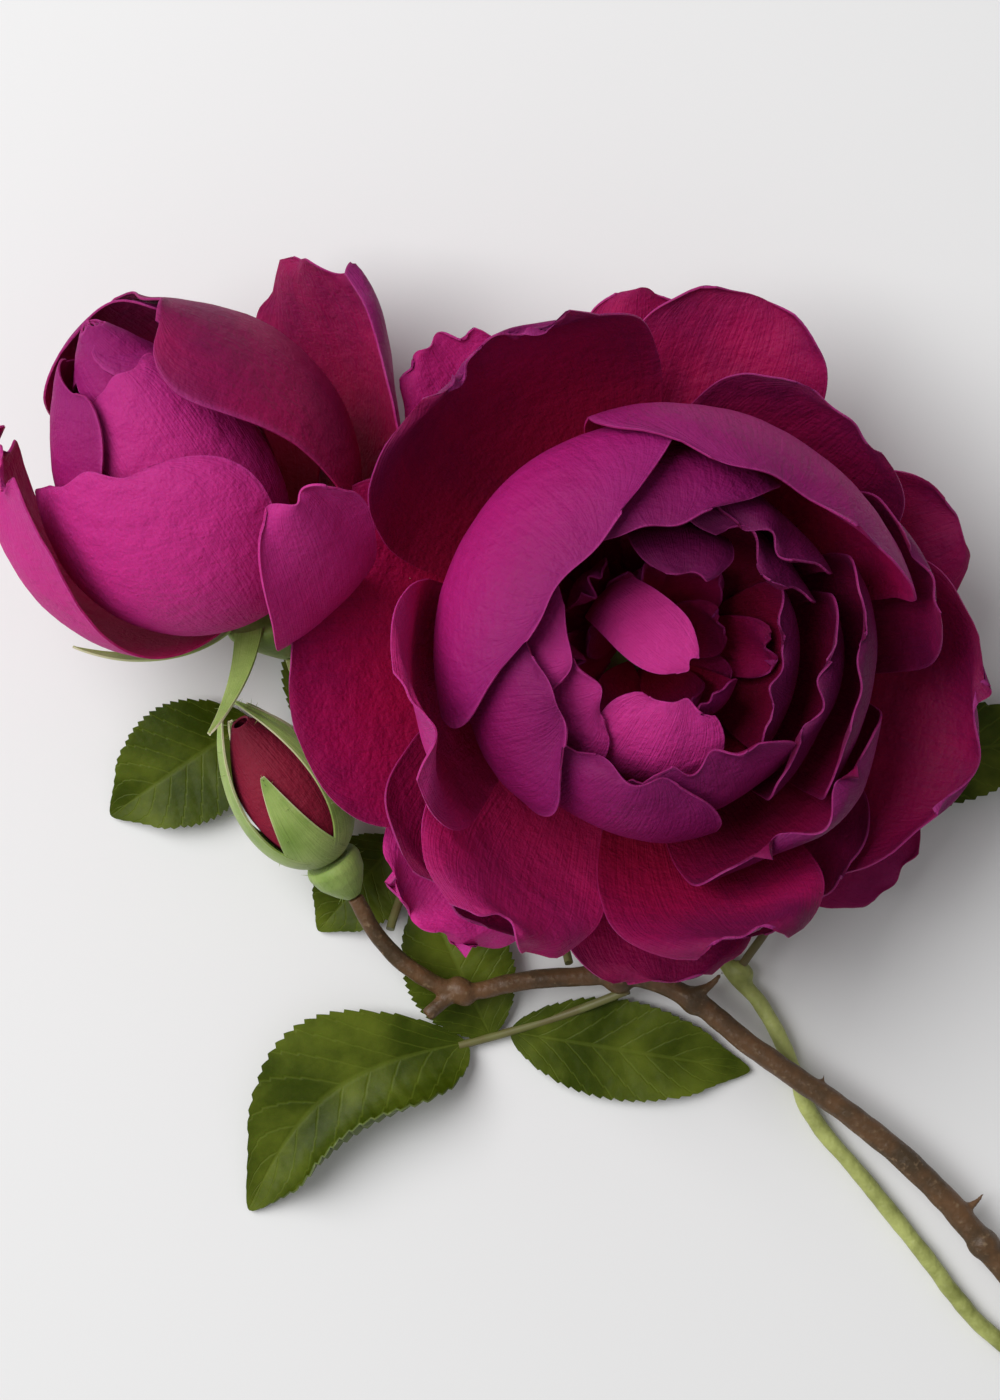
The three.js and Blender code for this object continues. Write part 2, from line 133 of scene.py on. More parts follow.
class Paint:
    """One material and its node tree."""

    def __init__(self, name):
        self.material = bpy.data.materials.new(name)
        self.material.use_nodes = True
        self.tree = self.material.node_tree
        self.shader = self.tree.nodes["Principled BSDF"]

    def link(self, value, socket):
        if isinstance(value, Wire):
            self.tree.links.new(value.socket, socket)
        else:
            socket.default_value = value

    def node(self, kind, settings=None, sockets=None):
        made = self.tree.nodes.new(kind)
        for key, value in (settings or {}).items():
            setattr(made, key, value)
        for key, value in (sockets or {}).items():
            self.link(value, made.inputs[key])
        return made

    def get(self, kind, settings=None, sockets=None, output=0):
        return Wire(self, self.node(kind, settings, sockets).outputs[output])

    def mix(self, factor, low, high):
        """A colour between two colours; each is a wire or (r, g, b)."""
        low, high = [c if isinstance(c, Wire) else (*c, 1) for c in (low, high)]
        settings = {"data_type": "RGBA", "clamp_factor": True}
        return self.get("ShaderNodeMix", settings, {0: factor, 6: low, 7: high}, output=2)

    def attribute(self, name):
        return self.get("ShaderNodeAttribute", {"attribute_name": name}, output=2)

    def across_and_along(self):
        """The piece's own two coordinates, from 0 to 1."""
        uv = self.get("ShaderNodeTexCoord", output=2)
        split = self.node("ShaderNodeSeparateXYZ", sockets={0: uv})
        return Wire(self, split.outputs[0]), Wire(self, split.outputs[1])

    def point(self, x, y, z=0.0):
        return self.get("ShaderNodeCombineXYZ", sockets={0: x, 1: y, 2: z})

    def speckle(self, where, scale, detail=3.0, roughness=0.55):
        sockets = {"Vector": where, "Scale": scale, "Detail": detail, "Roughness": roughness}
        return self.get("ShaderNodeTexNoise", sockets=sockets)

    def places(self):
        return self.get("ShaderNodeTexCoord", output=3)

    def set(self, **sockets):
        for name, value in sockets.items():
            self.link(value, self.shader.inputs[name.replace("_", " ")])

    def bump(self, height, distance, strength=1.0):
        sockets = {"Height": height, "Distance": distance, "Strength": strength}
        self.link(self.get("ShaderNodeBump", sockets=sockets), self.shader.inputs["Normal"])


# %% [markdown]
# ## Petal velvet
# A petal's inner face is dark crimson velvet: light from the side catches its tiny cone cells, so the
# colour turns redder towards the claw and purple towards the rim. The outer face is a paler magenta with
# fine veins that fan out, and the rim is paler still. The two faces share one material, and the piece's
# own `outer` attribute says which face a point is on.
# Each petal also has a share of painted shade that darkens the whole petal. Where the share is below zero it
# paints light on the petal instead.
# %% Petal paint
def petal_paint(name, inner, claw, shade, outer, purple, rim_tint, painted_light):
    paint = Paint(name)
    across, along = paint.across_and_along()
    outside = paint.attribute("outer")
    rim = paint.attribute("rim")
    bright = paint.attribute("bright")
    fan = paint.point(across * 34 + 3.7, along * 1.6 + 0.3)
    veins = paint.speckle(fan, 2.2, detail=4.0)
    clouds = paint.speckle(paint.places(), 60.0, detail=3.0)
    creases = paint.speckle(paint.places(), 420.0, detail=3.0)
    grain = paint.speckle(paint.places(), 1900.0, detail=2.0)
    streaks = (veins - 0.5) * 0.7
    inside = paint.mix(along.step(0.05, 0.75), claw, inner)
    inside = paint.mix((clouds * 0.9 + along * 0.6 + streaks * 0.4 - 0.4).step(0.2, 0.8), inside, shade)
    inside = paint.mix(bright, inside, outer)
    back = paint.mix(along.step(0.45, 1.0), outer, purple)
    back = paint.mix(clouds.step(0.35, 0.8) * 0.3 + streaks * 0.7, back, [c * 0.5 for c in outer])
    face = paint.mix(outside * (1 - paint.attribute("velvet")), inside, back)
    # Painted shade: the petal's share darkens it towards near-black purple. Below zero the share paints light
    # instead, by mixing in the glow colour.
    deep = paint.attribute("deep") * (0.7 + clouds * 0.6)
    face = paint.mix(deep, face, [c * 0.1 for c in purple])
    face = paint.mix(deep * -1, face, painted_light)
    face = paint.mix(rim * (outside * 0.35 + 0.12), face, rim_tint)
    paint.set(Base_Color=face, Roughness=0.6 + (grain - 0.5) * 0.3)
    paint.set(Sheen_Weight=0.05, Sheen_Roughness=0.35, Sheen_Tint=(0.8, 0.1, 0.5, 1))
    paint.set(Specular_IOR_Level=0.14)
    paint.set(Subsurface_Weight=0.2, Subsurface_Radius=(1.0, 0.12, 0.3), Subsurface_Scale=0.0012)
    paint.bump(veins * 0.4 + creases + grain * 0.3 + clouds * 0.5, distance=0.0005, strength=0.9)
    return paint.material


PETAL = petal_paint(
    "petal_velvet",
    inner=(0.38, 0.004, 0.085),
    claw=(0.36, 0.002, 0.026),
    shade=(0.18, 0.004, 0.065),
    outer=(0.36, 0.008, 0.14),
    purple=(0.25, 0.009, 0.125),
    rim_tint=(0.48, 0.05, 0.27),
    painted_light=(0.85, 0.05, 0.36),
)
BUD_PETAL = petal_paint(
    "bud_velvet",
    inner=(0.2, 0.006, 0.025),
    claw=(0.25, 0.01, 0.025),
    shade=(0.1, 0.004, 0.015),
    outer=(0.24, 0.012, 0.035),
    purple=(0.16, 0.008, 0.025),
    rim_tint=(0.25, 0.03, 0.06),
    painted_light=(0.4, 0.02, 0.06),
)

# %% [markdown]
# ## Sheets
# Petals, sepals and leaflets are all thin sheets. Each starts as a flat grid primitive whose width runs
# across and whose length runs along. Its points are moved to the sheet's curved surface, and a Solidify
# modifier gives it a wall. The grid's own UV map stays, so patterns follow the sheet.
# %% A sheet from a grid
def points_of(mesh):
    flat = np.empty(len(mesh.vertices) * 3)
    mesh.vertices.foreach_get("co", flat)
    return flat.reshape(-1, 3)


def put_points(mesh, points):
    mesh.vertices.foreach_set("co", np.asarray(points, dtype=float).ravel())
    mesh.update()


def normals_of(mesh):
    flat = np.empty(len(mesh.vertices) * 3)
    mesh.vertices.foreach_get("normal", flat)
    return flat.reshape(-1, 3)


def give(mesh, name, values):
    layer = mesh.attributes.new(name, "FLOAT", "POINT")
    layer.data.foreach_set("value", np.broadcast_to(values, len(mesh.vertices)).astype(np.float32))


def only(piece):
    """Selects one piece and nothing else."""
    bpy.ops.object.select_all(action="DESELECT")
    piece.select_set(True)
    bpy.context.view_layer.objects.active = piece


def sheet(name, surface, columns, rows, thickness):
    """A sheet whose middle is surface(across, along), with across from -1 to 1 and along from 0 to 1."""
    bpy.ops.object.select_all(action="DESELECT")
    bpy.ops.mesh.primitive_grid_add(x_subdivisions=columns, y_subdivisions=rows, size=2)
    piece = bpy.context.object
    piece.name = name
    mesh = piece.data
    flat = points_of(mesh)
    shape = (rows + 1, columns + 1)
    across = flat[:, 0].reshape(shape)
    along = (flat[:, 1].reshape(shape) + 1) / 2
    middle = surface(across, along).reshape(-1, 3)
    put_points(mesh, middle)
    wall = piece.modifiers.new("wall", "SOLIDIFY")
    wall.thickness = thickness
    wall.offset = 0
    facing = normals_of(mesh)
    bpy.ops.object.modifier_apply(modifier=wall.name)
    moved = points_of(mesh) - np.tile(middle, (2, 1))
    give(mesh, "outer", np.sum(moved * np.tile(facing, (2, 1)), axis=1) > 0)
    bpy.ops.object.shade_smooth_by_angle(angle=math.radians(60))
    return piece


# %% [markdown]
# ## How a rose's petals nest
# Seen from the side, a bloom's petals are a family of nested curves: the innermost close over the
# stamens, the cup stands up, and the guard petals lie back. Each petal is a piece of one such curve,
# turned about the flower's axis. Neighbours on different curves can't cut through each other.
# %% Flower frames and layers
def flower_frame(origin, axis, front):
    """The design point of a flower, and its three directions as rows."""
    up = Vector(axis).normalized()
    ahead = Vector(front)
    ahead = (ahead - up * up.dot(ahead)).normalized()
    return np.array(design(origin)), np.array([ahead, up.cross(ahead), up])


def in_flower(flower, points):
    origin, directions = flower
    return origin + (points * MM) @ directions


BIG = flower_frame((0, 0, 0), BIG_AXIS, (1, 0, 0))
SMALL = flower_frame((-51.2, 6, -4.5), (-0.433, 0.75, 0.5), (0, 0, 1))
BUD = flower_frame((-42, -28.4, -10), (-0.5, 0.8, 0.33), (0, 0, 1))

BIG_LAYERS = (
    (0.0, ((2.0, 2.0), (4, 8), (7, 14), (3, 19))),
    (0.25, ((3.5, 1.5), (11, 5), (18, 18), (8, 24))),
    (0.45, ((5.0, 1.0), (20, 4), (29, 22), (13.5, 28.5))),
    (0.6, ((6.0, 0.0), (28, 2), (38, 22), (19, 31))),
    (0.75, ((7.0, -0.5), (30, 0), (42, 18), (30, 31))),
    (0.88, ((8.0, -1.5), (26, -4), (42, 6), (42, 20))),
    (1.0, ((8.5, -2.5), (22, -6), (40, 2), (48, 4))),
    (1.12, ((9.0, -3.5), (20, -9), (38, -6), (49, -8))),
)
SMALL_LAYERS = (
    (0.0, ((0.9, 2), (3, 14), (6, 28), (1.5, 43))),
    (0.4, ((3, 0), (14, 6), (19, 24), (6, 40))),
    (0.7, ((4, -0.5), (24, 2), (29, 22), (16, 38))),
    (0.9, ((4.5, -1), (22, -2), (32, 12), (32, 32))),
    (1.1, ((5, -1.5), (18, -6), (34, 2), (40, 12))),
)
BUD_LAYERS = (
    (0.0, ((1, 1), (4, 6), (5, 13), (0.8, 20))),
    (0.5, ((1.7, 0.4), (6.2, 4), (6.4, 13), (1.4, 20.5))),
    (1.0, ((2.4, -0.2), (8, 3), (8.2, 13), (1.8, 21.3))),
    (2.0, ((3.2, -1.2), (11, 1.5), (12, 13), (8, 24))),
)


def layer_point(layers, layer, t):
    """Radius and height on a layer's curve. The layer and t are arrays of one shape."""
    levels = np.array([row[0] for row in layers])
    curves = np.array([row[1] for row in layers], dtype=float)
    k = np.clip(np.searchsorted(levels, layer) - 1, 0, len(levels) - 2)
    share = ((layer - levels[k]) / (levels[k + 1] - levels[k]))[..., None, None]
    handles = curves[k] + share * (curves[k + 1] - curves[k])
    s = 1 - t
    weights = np.stack([s**3, 3 * s * s * t, 3 * s * t * t, t**3], axis=-1)
    point = np.sum(weights[..., None] * handles, axis=-2)
    return point[..., 0], point[..., 1]


# %% [markdown]
# ## One petal
# A petal starts as a narrow claw and ends in a round top. The real ones also roll back at the rim, ruffle
# along it, and are never quite even, so the surface adds those: a roll turns the last part of the curve
# outwards, a ruffle moves the rim in and out, and slow noise dents the whole blade.
# %% The petal's surface
WIDEST = 0.66
CLAW = 0.1
ROUNDNESS = 3.5
PLAIN = dict(reach=1, arch=0.1, lean=0, notch=0, at=0, curl=0, start=0.6, ruffle=0.5, edge=0.012)
PLAIN.update(dent=0.5, bright=0, velvet=0, deep=0, eastward=0, northward=0)
SHIFT_HEIGHT = 25
NOTCH_WIDTH = 0.16


def petal_width(v):
    past = np.clip((v - WIDEST) / (1 - WIDEST), 0, 1)
    top = np.maximum(0.03, 1 - past**ROUNDNESS) ** (1 / ROUNDNESS)
    return np.where(v < WIDEST, CLAW + (1 - CLAW) * np.sin(np.pi / 2 * v / WIDEST), top)


def sepal_width(v):
    return (1 - v) ** 0.75 + 0.05


def rolled(r, z, v, curl, start):
    """Turns each column of a profile outwards, more and more after start."""
    share = np.clip((v[1:] - start) / (1 - start), 0, 1)
    turn = curl * share * share * (3 - 2 * share)
    dr, dz = np.diff(r, axis=0), np.diff(z, axis=0)
    out = dr * np.cos(turn) + dz * np.sin(turn)
    up = dz * np.cos(turn) - dr * np.sin(turn)
    r = np.concatenate([r[:1], r[:1] + np.cumsum(out, axis=0)])
    z = np.concatenate([z[:1], z[:1] + np.cumsum(up, axis=0)])
    return np.maximum(r, 0.4), z


def wobble(u, draw, slowest, fastest, count=4):
    """A smooth random wave along u, of about unit size."""
    pitches = draw.uniform(slowest, fastest, count)
    phases = draw.uniform(0, 2 * np.pi, count)
    return sum(np.sin(p * u + f) for p, f in zip(pitches, phases)) / math.sqrt(count)


def dents(points, size):
    """Slow noise in space, so that petals that touch are dented alike."""
    return np.array([noise.noise(p) for p in (points / size).reshape(-1, 3)])


def petal_surface(flower, layers, row, outline, seed):
    p = {**PLAIN, **row}

    def surface(u, rows):
        draw = np.random.default_rng(seed)
        v = 1 - (1 - rows) ** 1.5
        across = u * outline(v)
        notch = p["notch"] * np.exp(-(((across - p["at"]) / NOTCH_WIDTH) ** 2))
        t = p["reach"] * (v - (p["arch"] * across**2 + notch) * v * v)
        t = t * (1 + p["edge"] * wobble(across, draw, 4, 16) * v**6)
        r, z = layer_point(layers, p["layer"] + p["lean"] * np.sqrt(v), t)
        r, z = rolled(r, z, v, p["curl"], p["start"])
        middle, height = layer_point(layers, p["layer"] + 0 * v, p["reach"] * v)
        middle, height = rolled(middle, height, v, p["curl"], p["start"])
        angle = math.radians(p["az"]) + across * p["half"] / middle
        shift = z / SHIFT_HEIGHT
        x = r * np.cos(angle) + p["eastward"] * shift
        y = r * np.sin(angle) + p["northward"] * shift
        points = np.stack([x, y, z], axis=-1)
        normal = np.cross(np.gradient(points, axis=1), np.gradient(points, axis=0))
        normal /= np.maximum(np.linalg.norm(normal, axis=-1, keepdims=True), 1e-9)
        lift = p["ruffle"] * wobble(u * 0.6 + v, draw, 3, 9) * v**4
        lift = lift + p["dent"] * dents(points, 11).reshape(u.shape) * v
        lift = lift + p["dent"] * 0.3 * dents(points, 3.2).reshape(u.shape) * v
        points = points + normal * lift[..., None]
        return in_flower(flower, points)

    return surface


PETAL_THICK = 0.3
EDGE_BAND = 0.02


def petal(name, flower, layers, row, outline, paint, seed, columns=56, rows=44):
    surface = petal_surface(flower, layers, row, outline, seed)
    piece = sheet(name, surface, columns, rows, PETAL_THICK * MM)
    across, along = np.meshgrid(np.linspace(-1, 1, columns + 1), np.linspace(0, 1, rows + 1))
    near = np.minimum(1 - np.abs(across), (1 - along) * 1.4)
    rim = np.exp(-((near / EDGE_BAND) ** 1.2)) * np.clip(along * 2 - 0.5, 0, 1)
    give(piece.data, "rim", np.tile(rim.ravel(), 2))
    for tone in ("bright", "velvet", "deep"):
        give(piece.data, tone, {**PLAIN, **row}[tone])
    piece.data.materials.append(paint)
    return piece


def finish(piece, slot, *nodes):
    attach(piece, "root")
    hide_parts(*nodes)


# %% [markdown]
# ## The open bloom's petals
# Each row gives a petal's azimuth in degrees, half width in mm, layer and reach, and how its rim is
# shaped. The guard petals come first, then the cup, then the crumpled ones round the heart. Three shares
# set a petal's tone: `bright` gives its inner face the outer face's colour, `velvet` does the opposite,
# and the third paints shade over the whole petal, or paints light on it where it is below zero.
# %% Rows of the open bloom
BIG_PETALS = (
    dict(name="guard_01", az=181, half=26, layer=0.97, reach=1.05, curl=0.2, ruffle=1.2),
    dict(
        name="guard_02", az=123, half=24, layer=0.9, reach=1.16, notch=0.1, at=0.12, curl=0.3,
        ruffle=1, deep=0.35,
    ),
    dict(name="guard_03", az=72, half=15, layer=1, reach=1.01, ruffle=1.6, deep=0.15),
    dict(name="guard_04", az=89, half=9, layer=1.07, reach=0.94, ruffle=1),
    dict(
        name="guard_05", az=125, half=10, layer=1.04, reach=1,
        ruffle=1.8, edge=0.025, bright=0.7, deep=-0.1,
    ),
    dict(name="guard_06", az=50, half=17, layer=0.85, reach=0.82, ruffle=0.8, deep=0.5),
    dict(name="guard_07", az=20, half=12, layer=0.98, reach=0.93, ruffle=0.8),
    dict(name="guard_08", az=-18, half=25, layer=0.91, reach=0.98, curl=0.1, ruffle=1.2, deep=0.35),
    dict(name="guard_09", az=-42, half=12, layer=1.05, reach=1.02, bright=0.25, ruffle=1.2),
    dict(name="guard_10", az=-60, half=17, layer=0.85, reach=0.81, ruffle=1, deep=0.5),
    dict(name="guard_11", az=-86, half=15, layer=0.96, reach=0.93, ruffle=1.2, deep=0.4),
    dict(name="guard_12", az=-130, half=17, layer=0.91, reach=0.9, ruffle=1, deep=0.45),
    dict(
        name="guard_13", az=-128, half=14, layer=1.03, reach=0.96,
        ruffle=1.8, edge=0.03, bright=0.9, deep=-0.3,
    ),
    dict(name="cup_01", az=-168, half=17, layer=0.71, arch=0.2, curl=0.7, deep=-0.2),
    dict(name="cup_02", az=-125, half=15, layer=0.79, arch=0.2, curl=0.7, deep=-0.15),
    dict(name="cup_03", az=-78, half=15, layer=0.74, arch=0.2, curl=0.6, deep=0.3),
    dict(name="cup_04", az=60, half=27, layer=0.69, arch=0.2, ruffle=0.8, deep=0.15),
    dict(name="cup_05", az=16, half=13, layer=0.77, reach=0.84, arch=0.1, ruffle=0.8, deep=0.5),
    dict(name="cup_06", az=143, half=25, layer=0.63, reach=1.05, arch=0.3, ruffle=0.4),
    dict(name="cup_07", az=104, half=20, layer=0.55, reach=1, arch=0.3, ruffle=0.5, deep=0.25),
    dict(name="cup_08", az=-8, half=17, layer=0.57, reach=0.86, arch=0.08, ruffle=1.2, edge=0.025, deep=0.6),
    dict(name="cup_09", az=-164, half=15, layer=0.55, arch=0.2, ruffle=0.8, deep=0.2),
    dict(name="cup_10", az=-112, half=14.5, layer=0.5, arch=0.15, ruffle=1, edge=0.02, deep=0.2),
    dict(name="cup_11", az=-49, half=18, layer=0.64, reach=0.84, arch=0.1, ruffle=1, edge=0.02, deep=0.5),
    dict(name="cup_12", az=53, half=11, layer=0.49, reach=0.9, arch=0.08, ruffle=1.2, edge=0.025, deep=0.6),
    dict(name="inner_01", az=172, half=12, layer=0.48, arch=0.3, ruffle=0.9, deep=-0.15),
    dict(name="inner_02", az=55, half=13, layer=0.42, reach=0.88, arch=0.08, ruffle=1.2, edge=0.03, deep=0.6),
    dict(
        name="inner_03", az=-18, half=15, layer=0.48, reach=0.88, arch=0.08,
        ruffle=1.2, edge=0.03, deep=0.6,
    ),
    dict(name="inner_04", az=-75, half=13, layer=0.44, arch=0.08, ruffle=1.1, edge=0.025, deep=0.35),
    dict(name="inner_05", az=-162, half=11, layer=0.39, arch=0.1, ruffle=1, edge=0.025, deep=-0.25),
    dict(
        name="inner_06", az=135, half=4.2, layer=0.26, reach=1.12, eastward=4, northward=-3.5,
        ruffle=0.3, deep=-0.45,
    ),
    dict(
        name="inner_07", az=-108, half=8, layer=0.34, reach=1.12, eastward=1, northward=-0.5,
        ruffle=0.4, deep=-0.4,
    ),
    dict(name="inner_08", az=84, half=7, layer=0.34, ruffle=0.6, deep=0.55),
    dict(
        name="inner_09", az=-8, half=12, layer=0.36, reach=0.92, arch=0.08,
        ruffle=1.2, edge=0.03, deep=0.55,
    ),
    dict(name="inner_10", az=-50, half=5, layer=0.12, eastward=2, northward=-2, ruffle=0.4),
)
SMALL_PETALS = (
    dict(name="guard_1", az=112, half=21, layer=0.92, reach=1.04, ruffle=1.8, edge=0.03, deep=0.15),
    dict(name="guard_2", az=-90, half=16, layer=0.75, reach=1.02, ruffle=1.7, edge=0.025, deep=-0.3),
    dict(name="guard_3", az=21, half=9.5, layer=0.95, reach=0.97, bright=0.8, ruffle=1.4, deep=-0.3),
    dict(name="cup_1", az=-38, half=22, layer=0.58, reach=0.88, ruffle=0.5, deep=-0.35),
    dict(name="cup_2", az=95, half=20, layer=0.7, reach=1.15, velvet=0.85, ruffle=1.2, deep=0.3),
    dict(name="cup_3", az=155, half=18, layer=0.6, reach=1.1, ruffle=1.4),
    dict(name="inner_1", az=8, half=13, layer=0.38, reach=1, ruffle=0.5, deep=-0.3),
    dict(name="inner_2", az=-95, half=12, layer=0.47, reach=1.05, ruffle=0.7),
    dict(name="inner_3", az=138, half=10.5, layer=0.34, reach=1.1, ruffle=0.6),
    dict(name="inner_4", az=40, half=8, layer=0.24, reach=1.1, ruffle=0.4),
    dict(name="inner_5", az=230, half=8, layer=0.2, reach=1.1, ruffle=0.4),
)
BUD_PETALS = (
    dict(name="1", az=20, half=9, layer=1, reach=1.04, ruffle=0.1, dent=0.2),
    dict(name="2", az=150, half=8.4, layer=0.4, ruffle=0.1, dent=0.2),
    dict(name="3", az=-90, half=9, layer=0.7, ruffle=0.1, dent=0.2),
    dict(name="4", az=60, half=3.6, layer=0, ruffle=0.1, dent=0.2),
)

# %% Make every petal
for seed, row in enumerate(BIG_PETALS):
    node = "big_petal_" + row["name"]
    finish(petal("fine_" + node, BIG, BIG_LAYERS, row, petal_width, PETAL, seed), "petal", node)
for seed, row in enumerate(SMALL_PETALS):
    node = "small_petal_" + row["name"]
    finish(petal("fine_" + node, SMALL, SMALL_LAYERS, row, petal_width, PETAL, 60 + seed), "petal", node)
for seed, row in enumerate(BUD_PETALS):
    node = "bud_petal_" + row["name"]
    piece = petal("fine_" + node, BUD, BUD_LAYERS, row, petal_width, BUD_PETAL, 90 + seed)
    finish(piece, "bud_petal", node)
print("petals:", len(BIG_PETALS) + len(SMALL_PETALS) + len(BUD_PETALS))

# %% [markdown]
# ## Tubes and turned solids
# Stems and leaf stalks are round all along, so each is a curve with a round bevel whose radius changes
# from point to point. A hip is round about its flower's axis, so it is a sphere whose rings are moved to
# the hip's profile.
# %% Tubes and turned solids
def tube(name, route, radii, resolution=8, sides=6):
    """A round tube along design points, with one radius in mm for each point."""
    bpy.ops.object.select_all(action="DESELECT")
    bpy.ops.curve.primitive_bezier_curve_add()
    path = bpy.context.object
    path.name = name
    spline = path.data.splines[0]
    spline.bezier_points.add(len(route) - len(spline.bezier_points))
    for point, place, radius in zip(spline.bezier_points, route, radii):
        point.co = design(place)
        point.handle_left_type = point.handle_right_type = "AUTO"
        point.radius = radius
    path.data.dimensions = "3D"
    path.data.resolution_u = resolution
    path.data.bevel_depth = MM
    path.data.bevel_resolution = sides
    path.data.use_fill_caps = True
    bpy.ops.object.convert(target="MESH")
    return bpy.context.object


def turned(name, flower, profile, segments=40, rings=40):
    """A solid round a flower's axis, from (radius, height) points in mm, top first."""
    bpy.ops.object.select_all(action="DESELECT")
    bpy.ops.mesh.primitive_uv_sphere_add(segments=segments, ring_count=rings)
    piece = bpy.context.object
    piece.name = name
    ball = points_of(piece.data)
    share = np.arccos(np.clip(ball[:, 2], -1, 1)) / np.pi
    turn = np.arctan2(ball[:, 1], ball[:, 0])
    knots = np.array(profile, dtype=float)
    lengths = np.linalg.norm(np.diff(knots, axis=0), axis=1)
    marks = np.concatenate([[0], np.cumsum(lengths)]) / np.sum(lengths)
    r, z = np.interp(share, marks, knots[:, 0]), np.interp(share, marks, knots[:, 1])
    local = np.stack([r * np.cos(turn), r * np.sin(turn), z], axis=-1)
    put_points(piece.data, in_flower(flower, local))
    apply_modifier(piece, "SMOOTH", factor=0.5, iterations=2)
    only(piece)
    bpy.ops.object.shade_smooth()
    return piece


def apply_modifier(piece, kind, **settings):
    only(piece)
    modifier = piece.modifiers.new(kind.lower(), kind)
    for key, value in settings.items():
        setattr(modifier, key, value)
    bpy.ops.object.modifier_apply(modifier=modifier.name)


def join(pieces):
    bpy.ops.object.select_all(action="DESELECT")
    for piece in pieces:
        piece.select_set(True)
    bpy.context.view_layer.objects.active = pieces[0]
    bpy.ops.object.join()
    return bpy.context.object


def ball(name, centre, radii, aim=(0, 0, 1), segments=16, rings=10):
    """An ellipsoid at a design point; its third radius lies along aim."""
    bpy.ops.object.select_all(action="DESELECT")
    turn = Vector(aim).to_track_quat("Z", "Y")
    bpy.ops.mesh.primitive_uv_sphere_add(segments=segments, ring_count=rings)
    piece = bpy.context.object
    piece.name = name
    local = points_of(piece.data) * np.array(radii)
    spun = np.array([turn @ Vector(p) for p in local])
    put_points(piece.data, np.array(design(centre)) + spun * MM)
    return piece


def spike(name, foot, tip, radius, hook=0.0):
    """A cone from a design point to a tip, bent sideways by hook in mm, like a prickle."""
    start, end = Vector(foot), Vector(tip)
    side = (end - start).cross(Vector((0, 0, 1))).normalized()
    middle = start.lerp(end, 0.55) + side * hook
    return tube(name, (start, middle, end), (radius, radius * 0.42, radius * 0.06), resolution=6)


# %% [markdown]
# ## Calyx green
# The hips and sepals are pale yellow-green, with darker streaks along them, and matt with fine down. The
# sepals' edges carry a cream felt, so the paint lightens along the `rim`.
# %% Calyx paint
def calyx_paint():
    paint = Paint("calyx_green")
    across, along = paint.across_and_along()
    rim = paint.attribute("rim")
    clouds = paint.speckle(paint.places(), 130.0, detail=3.0)
    down = paint.speckle(paint.places(), 2400.0, detail=2.0)
    ribs = paint.speckle(paint.point(across * 14 + 3.7, along * 1.2 + 0.3), 1.6, detail=3.0)
    green = paint.mix(clouds.step(0.3, 0.75), (0.33, 0.44, 0.12), (0.17, 0.27, 0.045))
    green = paint.mix(ribs.step(0.55, 0.75) * 0.5, green, (0.09, 0.15, 0.02))
    green = paint.mix(rim, green, (0.62, 0.6, 0.38))
    paint.set(Base_Color=green, Roughness=0.55 + (down - 0.5) * 0.3)
    paint.set(Sheen_Weight=0.15, Sheen_Roughness=0.4, Specular_IOR_Level=0.35)
    paint.set(Subsurface_Weight=0.15, Subsurface_Radius=(0.5, 1.0, 0.2), Subsurface_Scale=0.001)
    paint.bump(down * 0.4 + ribs * 0.8 + clouds * 0.4, distance=0.0003, strength=0.5)
    return paint.material


CALYX = calyx_paint()

# %% [markdown]
# ## Hips, sepals and down
# Below each flower sits a green hip, and five sepals grow from its rim. The open blooms hide theirs; the
# bud's still clasp it. Bud and hip carry fine hairs, which are the thinnest of cones.
# %% Rows of the calyxes
BIG_HIP = (
    (0, 1.1), (2.6, 0.4), (4.4, -0.7), (6, -1.6), (7.1, -2.8), (7.7, -4.2), (9.8, -4.7), (10.2, -5.4),
    (8.8, -7), (6.4, -9.4), (3.6, -12.4), (1.4, -15), (0, -15),
)
SMALL_HIP = (
    (0, 0.8), (0.9, 0.4), (2.2, -0.9), (3.3, -1.5), (3.9, -2.1), (5.6, -2.3), (5.9, -3),
    (5, -4.8), (3.2, -7.4), (1.2, -10), (0, -10),
)
BUD_HIP = (
    (0, 0), (1, -0.4), (1.8, -1.1), (2.6, -1.3), (3.7, -1.2), (4, -2.2), (3.5, -4.2), (2.2, -6.2),
    (1.1, -7.5), (0, -7.5),
)
SEPAL = dict(arch=0, edge=0, ruffle=0.15, dent=0.2)
BIG_SEPALS = [dict(az=az, half=4.2, layer=1.2, reach=0.8, **SEPAL) for az in (55, 140, -150, -85, -15)]
SMALL_SEPALS = (
    dict(az=56, half=3.4, layer=1.2, lean=-0.06, reach=0.46, **SEPAL),
    dict(az=128, half=3.4, layer=1.2, lean=-0.1, reach=0.5, **SEPAL),
    dict(az=-168, half=2.2, layer=1.2, lean=-0.6, reach=0.5, **SEPAL),
    dict(az=-100, half=2.2, layer=1.2, lean=-0.24, reach=0.5, **SEPAL),
    dict(az=-36, half=2.2, layer=1.2, lean=0, reach=0.45, **SEPAL),
)
BUD_SEPALS = (
    dict(az=-84, half=6.4, layer=1.35, lean=-0.1, reach=1.12, **SEPAL),
    dict(az=-12, half=5, layer=1.4, lean=-0.2, reach=0.78, **SEPAL),
    dict(az=58, half=4.6, layer=1.35, lean=-0.1, reach=1.12, **SEPAL),
    dict(az=130, half=4.6, layer=1.35, lean=-0.1, reach=1.05, **SEPAL),
    dict(az=-158, half=4.6, layer=1.35, lean=-0.1, reach=1.0, **SEPAL),
)


# %% Make the calyxes
HAIR_LENGTH = 1.1


